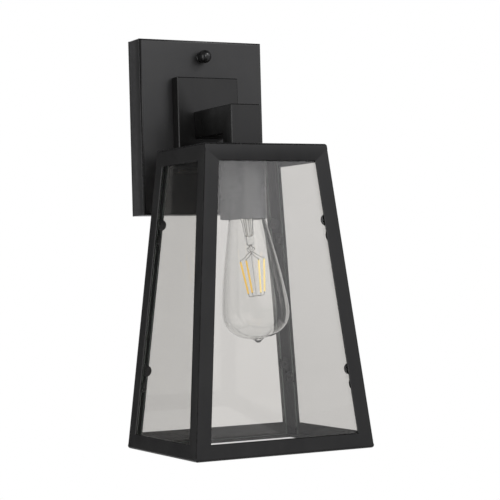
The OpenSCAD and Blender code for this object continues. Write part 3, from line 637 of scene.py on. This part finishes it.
def make_cover():
    """A drawn cup, open below, with a rounded top edge and a hole for the pipe."""
    low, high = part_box("socket_cover")
    middle = (low + high) / 2
    place = Matrix.Translation((middle.x, middle.y, low.z))
    tall, radius = high.z - low.z, (high.x - low.x) / 2
    wall, lid, rim, shoulder, hole = 0.8 * MM, 1 * MM, 0.3 * MM, 1.2 * MM, 5.2 * MM
    inside = radius - wall
    profile = [(hole, tall), (hole, tall - lid), (inside - lid, tall - lid),
               (inside, tall - 2 * lid), (inside, rim), (inside + rim, 0),
               (radius - rim, 0), (radius, rim)]
    profile += arc((radius - shoulder, tall - shoulder), shoulder, 0, 90, 6)
    bm = bmesh.new()
    lathe(bm, profile, place, 128)
    add_piece("cover_tube", bm, body_of("socket_cover"), ["socket_cover"],
              [COAT_COVER], 40)


def make_holder():
    """The lamp holder with its brass parts, and the leads."""
    smoothed("lamp_holder", "holder_body", [BLACK_PLASTIC])
    smoothed("holder_shell", "holder_screw_shell", [BRASS])
    smoothed("holder_contact", "holder_spring", [BRASS])
    smoothed("live_lead", "lead_live", [BLACK_WIRE], 50)
    smoothed("neutral_lead", "lead_neutral", [WHITE_WIRE], 50)
    smoothed("earth_lead", "lead_earth", [GREEN_WIRE], 50)
    make_connectors()


def make_connectors():
    """Twist-on connectors: ribbed cones, closed at the lower end."""
    low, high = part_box("wire_connectors")
    mouth_r, tip_r, bore, bore_depth, groove = 5.4 * MM, 3.4 * MM, 3 * MM, 8 * MM, 0.45 * MM
    ribs, sides, steps = 12, 72, 16
    fade = 6                                  # the grooves run out over a sixth of the height
    bm = bmesh.new()
    for x in (low.x + mouth_r, high.x - mouth_r):
        place = Matrix.Translation((x, (low.y + high.y) / 2, low.z))
        tall = high.z - low.z
        rings = []
        for i in range(steps + 1):
            share = i / steps
            ring = []
            for k in range(sides):
                depth = groove * min(1, fade * share, fade * (1 - share))
                rib = depth * (0.5 - 0.5 * math.cos(2 * math.pi * ribs * k / sides))
                r = tip_r + (mouth_r - tip_r) * share - rib
                angle = 2 * math.pi * k / sides
                ring.append(bm.verts.new(place @ Vector((
                    r * math.cos(angle), r * math.sin(angle), tall * share))))
            rings.append(ring)
        for height in (tall, tall - bore_depth):
            rings.append([bm.verts.new(place @ Vector((
                bore * math.cos(2 * math.pi * k / sides),
                bore * math.sin(2 * math.pi * k / sides), height))) for k in range(sides)])
        for a, b in zip(rings, rings[1:]):
            for k in range(sides):
                bm.faces.new([a[k], a[(k + 1) % sides], b[(k + 1) % sides], b[k]])
        bm.faces.new(rings[0])
        bm.faces.new(rings[-1])
    add_piece("twist_connectors", bm, body_of("wire_connectors"), ["wire_connectors"],
              [ORANGE_PLASTIC], 40)


# ---- Bulb -----------------------------------------------------------------------------------

# The bulb's frame has its origin on the turning joint and Z up the bulb's own axis, so the
# bulb hangs towards -Z. MOUTH is how far below the origin the socket cover's mouth is.
BULB_TURN = JOINTS["bulb_turn"]
UP = -Vector(BULB_TURN["axis"]).normalized()
PIVOT = Vector(BULB_TURN["pos_m"])
ACROSS = Vector((0, 1, 0)).cross(UP).normalized()
BULB = Matrix.Translation(PIVOT) @ Matrix((ACROSS, UP.cross(ACROSS), UP)).transposed().to_4x4()
MOUTH = (PIVOT.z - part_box("socket_cover")[0].z) / UP.z

NECK_R = 16.9 * MM
BELLY_R = 31.5 * MM
BELLY = 84 * MM                # from the cover's mouth down to the widest ring
BULB_LENGTH = 111 * MM
BULB_WALL = 0.8 * MM
STRAIGHT = 0.62                # the share of a plain cone in the neck's shape
OVAL_POWER = 2.3               # 2 would make the bottom an ellipse
CAP_JOINT = -MOUTH + 6 * MM    # where the glass goes into the screw cap
CAP_R = 13 * MM


def bulb_profile(inset):
    """The bulb's outline from its neck to just above its tip, as (radius, height) points,
    moved inwards by inset."""
    points = []
    steps, rounds = 60, 40
    for i in range(steps):
        k = i / steps
        swell = math.sin(math.pi / 2 * k)
        points.append((NECK_R + (BELLY_R - NECK_R) * (STRAIGHT * k + (1 - STRAIGHT) * swell),
                       -MOUTH - k * BELLY))
    for i in range(steps + 1):
        angle = math.pi / 2 * i / steps
        points.append((BELLY_R * max(math.cos(angle), 0) ** (2 / OVAL_POWER),
                       -MOUTH - BELLY
                       - (BULB_LENGTH - BELLY) * math.sin(angle) ** (2 / OVAL_POWER)))
    for _ in range(rounds):                   # rounds off the meeting of neck and bottom
        points = [points[0]] + [
            tuple((a + 2 * b + c) / 4 for a, b, c in zip(points[i - 1], points[i], points[i + 1]))
            for i in range(1, len(points) - 1)] + [points[-1]]
    if inset == 0:
        return points
    inner = []
    for i, point in enumerate(points):
        a, b = points[max(i - 1, 0)], points[min(i + 1, len(points) - 1)]
        along = Vector((b[0] - a[0], b[1] - a[1])).normalized()
        inner.append((max(point[0] + along.y * inset, 0), point[1] - along.x * inset))
    return inner


def make_bulb_glass():
    """The blown envelope with its sealed tip, one closed shell of even thickness."""
    outer = bulb_profile(0)
    inner = bulb_profile(BULB_WALL)
    tip_r, tip_drop, reach, steps = 3.6 * MM, 3.6 * MM, 6.2 * MM, 15
    collar_r, wall, collar_up = CAP_R - 0.8 * MM, 0.8 * MM, CAP_JOINT + 5 * MM
    foot = outer[-1][1]
    body = [p for p in outer if p[0] > reach]
    start = body[-1]
    tip = []
    for i in range(1, steps):
        k = i / steps
        flare = (1 - k) ** 2.2
        r = tip_r * math.sqrt(max(0, 1 - k * k)) + (start[0] - tip_r) * flare
        tip.append((r, start[1] + (foot - tip_drop - start[1]) * k ** 1.25))
    collar = [(collar_r, collar_up), (collar_r, CAP_JOINT - 0.5 * MM)]
    inner_collar = [(collar_r - wall, collar_up), (collar_r - wall, CAP_JOINT)]
    inside = [p for p in inner if p[0] > 0.3 * MM]
    profile = [(0, foot - tip_drop)] + tip[::-1] + body[::-1] + collar[::-1] + inner_collar
    profile += inside + [(0, inner[-1][1])]
    bm = bmesh.new()
    lathe(bm, profile, BULB, 144)
    add_piece("bulb_envelope", bm, "bulb", ["bulb_glass"], [BULB_GLASS], 60)


STEM_LEAN = math.radians(2.0)            # the mount leans a little inside the bulb
STEM_AXIS = Vector((-0.46, -0.887, 0))    # what it leans about: a line to the camera
STEM = (BULB @ Matrix.Translation((0, 0, CAP_JOINT))
        @ Matrix.Rotation(STEM_LEAN, 4, STEM_AXIS)
        @ Matrix.Translation((0, 0, -CAP_JOINT)))
STEM_TIP = -MOUTH - 25 * MM
ROD_END = -MOUTH - 71.5 * MM
FILAMENT_TOP = -MOUTH - 37 * MM
FILAMENT_FOOT = -MOUTH - 69.5 * MM
FILAMENT_TOP_R = 12.5 * MM
FILAMENT_FOOT_R = 8.3 * MM


def make_stem():
    """The flared glass tube, pressed flat round the lead wires, with its exhaust tube and the
    rod that carries the lower wires."""
    wall, pinch = 0.75 * MM, STEM_TIP + 8 * MM
    outer = [(9.3 * MM, CAP_JOINT + 1 * MM), (9.5 * MM, CAP_JOINT - 0.5 * MM),
             (8.2 * MM, CAP_JOINT - 3 * MM), (6.4 * MM, -MOUTH + 0.5 * MM),
             (5.3 * MM, -MOUTH - 3 * MM), (4.9 * MM, -MOUTH - 8 * MM),
             (4.7 * MM, -MOUTH - 12 * MM), (4.4 * MM, -MOUTH - 15 * MM)]
    inner = [(r - wall, h) for r, h in outer]
    solid = [(4.3 * MM, -MOUTH - 18 * MM), (4.2 * MM, -MOUTH - 21 * MM),
             (3.8 * MM, -MOUTH - 23.4 * MM), (2.2 * MM, STEM_TIP + 0.6 * MM),
             (0.75 * MM, STEM_TIP), (0.7 * MM, ROD_END + 1.6 * MM)]
    solid += arc((0, ROD_END + 1 * MM), 1 * MM, 40, -80, 8) + [(0, ROD_END)]
    bm = bmesh.new()
    lathe(bm, [(0, pinch)] + inner[::-1] + outer + solid, Matrix(), 48)
    tube_r, bore = 1.9 * MM, 1.2 * MM
    lathe(bm, [(bore, CAP_JOINT), (tube_r, CAP_JOINT), (tube_r, pinch + 0.5 * MM),
               (bore, pinch + 0.5 * MM)], Matrix(), 24)
    press_start, press_length, press_share = pinch + 5 * MM, 7 * MM, 0.5
    for vert in bm.verts:                  # the press flattens the tube's end
        press = min(max((press_start - vert.co.z) / press_length, 0), 1)
        if vert.co.z > STEM_TIP:
            vert.co.y *= 1 - press_share * press
    bm.transform(STEM)
    add_piece("glass_mount", bm, "bulb", ["bulb_stem"], [STEM_GLASS], 60)


def flowing(points):
    """A smooth path through the points given in millimetres."""
    steps = 6
    points = [Vector(p) * MM for p in points]
    ends = [points[0] * 2 - points[1], *points, points[-1] * 2 - points[-2]]
    path = []
    for a, b, c, d in zip(ends, ends[1:], ends[2:], ends[3:]):
        for i in range(steps):
            t = i / steps
            path.append(0.5 * (2 * b + (c - a) * t + (2 * a - 5 * b + 4 * c - d) * t * t
                               + (3 * b - a - 3 * c + d) * t ** 3))
    return path + [points[-1]]


def make_wires():
    """Support wires: a curled one from the mount out to each filament, a cross of wires
    below, and the two leads that run up inside the mount."""
    chance = random.Random(7)
    bm = bmesh.new()
    wire, sides = 0.28 * MM, 10
    tip, end = STEM_TIP / MM, ROD_END / MM
    curl = [(1.2, 0, 1.6), (1.8, 0.4, -0.8), (3.2, 1.7, -2.0), (2.6, 2.7, -3.7),
            (1.2, 1.5, -4.9), (2.2, -0.5, -6.0), (4.4, -1.3, -7.6), (7.0, -0.6, -9.9),
            (10.0, 0, -11.3), (12.2, 0, -11.8)]
    cross = [(0.9, 0, 0.7), (3.0, 0, 0.3), (5.6, 0, 0.1), (7.6, 0, 0.6), (8.25, 0, 1.6)]
    for quarter in range(4):
        spin = STEM @ Matrix.Rotation(math.pi / 2 * quarter, 4, "Z")
        bent = [(x + chance.uniform(-0.4, 0.4), y + chance.uniform(-0.6, 0.6),
                 tip + z + chance.uniform(-0.4, 0.4)) for x, y, z in curl[2:7]]
        top = [(x, y, tip + z) for x, y, z in curl[:2]] + bent
        top += [(x, y, tip + z) for x, y, z in curl[7:]]
        sweep(bm, [spin @ p for p in flowing(top)], wire, sides)
        sweep(bm, [spin @ p for p in flowing([(x, y, end + z) for x, y, z in cross])],
              wire, sides)
    for side in (-1, 1):
        lead = [(side * 3.6, 0, CAP_JOINT / MM), (side * 3.2, 0.3, -MOUTH / MM - 2),
                (side * 3.0, -0.3, -MOUTH / MM - 9), (side * 2.6, 0, -MOUTH / MM - 16)]
        sweep(bm, [STEM @ p for p in flowing(lead)], wire, sides)
    add_piece("support_wires", bm, "bulb", ["bulb_wires"], [WIRE], 60)


def make_filaments():
    """Four coated strips with bare metal ends."""
    end, taper, r, bare_r, metal = 1.6 * MM, 0.4 * MM, 0.9 * MM, 0.4 * MM, 2
    bm = bmesh.new()
    for quarter in range(4):
        spin = STEM @ Matrix.Rotation(math.pi / 2 * quarter, 4, "Z")
        foot = spin @ Vector((FILAMENT_FOOT_R, 0, FILAMENT_FOOT))
        top = spin @ Vector((FILAMENT_TOP_R, 0, FILAMENT_TOP))
        along = (top - foot).normalized()
        length = (top - foot).length
        place = turned_to(foot, along)
        coat = 0 if quarter in (1, 2) else 1
        low, high = end - taper, length - end + taper
        lathe(bm, [(0, low), (r * 0.75, low), (r, end), (r, length - end),
                   (r * 0.75, high), (0, high)], place, 24, coat)
        for low, high in ((0, end), (length - end, length)):
            lathe(bm, [(0, low), (bare_r, low), (bare_r, high), (0, high)], place, 16, metal)
    add_piece("led_filaments", bm, "bulb", ["bulb_filaments"],
              [PHOSPHOR_A, PHOSPHOR_B, WIRE], 40)


def make_cap():
    """The screw cap: a rolled thread with a rim, its black glass insulator and its contact."""
    bm = bmesh.new()
    depth, pitch, wall, sides = 0.75 * MM, 3.63 * MM, 1.2 * MM, 64
    low, high = CAP_JOINT, CAP_JOINT + 21.5 * MM
    threaded(bm, BULB, CAP_R, depth, pitch, low, high - wall, sides, CAP_R - wall,
             plain_low=2.5 * MM, plain_high=1 * MM)
    lathe(bm, [(9 * MM, high), (11.6 * MM, high), (12.5 * MM, high - 0.6 * MM),
               (12.7 * MM, high - 1.4 * MM), (11.8 * MM, high - 1.4 * MM),
               (9 * MM, high - 0.6 * MM)], BULB, sides)
    add_piece("screw_cap", bm, "bulb", ["bulb_cap"], [NICKEL], 60)
    smoothed("bulb_insulator", "cap_insulator", [VITRITE], 40)
    smoothed("bulb_contact", "cap_contact", [NICKEL], 40)


# ---- Light and floor ------------------------------------------------------------------------

ROOM = 0.2                     # the room's strength where nothing adds to it
ROOM_THROUGH_PANES = 0.62      # and the least that it has when seen through the panes
ROOM_COLOUR = (0.98, 0.975, 1.0, 1)
AIM = (0, -0.08, -0.1)         # the point that all lamps face


def direction_share(tree, place, direction, start, end):
    """From 0 to 1 as the sky's direction comes within a cosine of end of the direction given."""
    dot = tree.nodes.new("ShaderNodeVectorMath")
    dot.operation = "DOT_PRODUCT"
    dot.inputs[1].default_value = Vector(direction).normalized()
    tree.links.new(place, dot.inputs[0])
    ranged = tree.nodes.new("ShaderNodeMapRange")
    ranged.interpolation_type = "SMOOTHSTEP"
    ranged.inputs["From Min"].default_value = start
    ranged.inputs["From Max"].default_value = end
    tree.links.new(dot.outputs["Value"], ranged.inputs["Value"])
    return ranged.outputs[0]


def scaled_sum(tree, base, parts):
    """base plus each part's share times its strength."""
    total = base
    for share, strength in parts:
        total = node_math(tree, "MULTIPLY_ADD", share, strength, total)
    return total


def make_sky():
    """A studio: pure white to the camera itself. What lights the lantern and mirrors in it is
    a room that is bright in front, most of all high up, and behind, and dark to the left, to
    the far right and overhead. Seen through the panes the room is never dark."""
    world = bpy.data.worlds.new("studio")
    SCENE.world = world
    world.use_nodes = True
    tree = world.node_tree
    tree.nodes.clear()
    place = tree.nodes.new("ShaderNodeTexCoord").outputs["Generated"]
    front = direction_share(tree, place, (0.5, -0.86, 0.0), 0.45, 0.92)
    rise = direction_share(tree, place, (0, 0, 1), 0.02, 0.22)
    behind = direction_share(tree, place, (0.42, 0.9, 0.0), 0.75, 0.96)
    left = direction_share(tree, place, (-0.46, 0.88, 0.0), 0.8, 0.95)
    right = direction_share(tree, place, (0.93, 0.36, 0.0), 0.86, 0.96)
    above = direction_share(tree, place, (0.35, 0.1, 0.93), 0.8, 0.95)
    strength = scaled_sum(tree, ROOM, [
        (front, 0.45), (node_math(tree, "MULTIPLY", front, rise), 0.95), (behind, 0.6),
        (left, -0.15), (right, -0.17), (above, -0.15)])
    path = tree.nodes.new("ShaderNodeLightPath")
    seen_through = path.outputs["Is Transmission Ray"]
    for depth in ("Glossy Depth", "Diffuse Depth"):
        first = node_math(tree, "LESS_THAN", path.outputs[depth], 0.5)
        seen_through = node_math(tree, "MULTIPLY", seen_through, first)
    through_panes = node_math(tree, "MULTIPLY", seen_through, ROOM_THROUGH_PANES)
    room = tree.nodes.new("ShaderNodeBackground")
    room.inputs["Color"].default_value = ROOM_COLOUR
    tree.links.new(node_math(tree, "MAXIMUM", strength, through_panes),
                   room.inputs["Strength"])
    white = tree.nodes.new("ShaderNodeBackground")
    white.inputs["Color"].default_value = (1, 1, 1, 1)
    mix = tree.nodes.new("ShaderNodeMixShader")
    tree.links.new(path.outputs["Is Camera Ray"], mix.inputs[0])
    tree.links.new(room.outputs[0], mix.inputs[1])
    tree.links.new(white.outputs[0], mix.inputs[2])
    out = tree.nodes.new("ShaderNodeOutputWorld")
    tree.links.new(mix.outputs[0], out.inputs["Surface"])


def area_light(name, place, size, power):
    """A white rectangular lamp facing AIM, which no ray from the camera meets directly."""
    data = bpy.data.lights.new(name, "AREA")
    data.shape = "RECTANGLE"
    data.size, data.size_y = size
    data.energy = power
    lamp = bpy.data.objects.new(name, data)
    lamp.location = place
    lamp.rotation_euler = (Vector(AIM) - Vector(place)).to_track_quat("-Z", "Y").to_euler()
    lamp.visible_camera = False
    lamp.visible_transmission = False        # nor through the panes
    SCENE.collection.objects.link(lamp)


def make_floor():
    """A plain pale floor below the lantern, which hangs on a wall that isn't shown."""
    centre = (CAD_LOW + CAD_HIGH) / 2
    half, drop, thick = 0.8, 0.24, 0.02
    bm = bmesh.new()
    bmesh.ops.create_cube(bm, size=1, matrix=Matrix.Translation(
        (centre.x, centre.y, CAD_LOW.z - drop - thick / 2)) @ Matrix.Diagonal(
            (2 * half, 2 * half, thick, 1)))
    mesh = bpy.data.meshes.new("floor")
    bm.to_mesh(mesh)
    bm.free()
    s = Shader("floor_paint")
    cloud = s.noise(3, 4, 0.5)
    s.link(s.blend(s.span(cloud, 0, 1), (0.78, 0.78, 0.77), (0.84, 0.84, 0.83)),
           s.surface.inputs["Base Color"])
    s.link(s.span(cloud, 0.6, 0.75), s.surface.inputs["Roughness"])
    s.set(Emission_Color=(0.85, 0.85, 0.85, 1), Emission_Strength=0.14)
    mesh.materials.append(s.material)
    floor = bpy.data.objects.new("floor", mesh)
    SCENE.collection.objects.link(floor)


def make_light():
    bounces = 24                              # a look through two panes and the bulb takes many
    make_sky()
    area_light("key", (1.14, -1.71, 1.57), (0.9, 0.9), 13)
    area_light("by_the_camera", (-0.35, -2.2, 0.3), (0.5, 1.0), 5)
    area_light("back_left", (-1.5, 1.1, -0.05), (0.45, 1.3), 5)
    area_light("edge_light", (-1.35, -0.8, -0.05), (0.5, 1.3), 6)
    SCENE.view_settings.view_transform = "Standard"
    SCENE.cycles.max_bounces = bounces
    SCENE.cycles.transmission_bounces = bounces
    SCENE.cycles.transparent_max_bounces = bounces
    SCENE.cycles.caustics_reflective = False


# ---- The scene ------------------------------------------------------------------------------

make_camera()
make_light()
make_floor()
make_mounting()
make_studs()
make_pipes()
make_cap_nuts()
make_cage()
make_cover()
make_holder()
make_bulb_glass()
make_stem()
make_wires()
make_filaments()
make_cap()
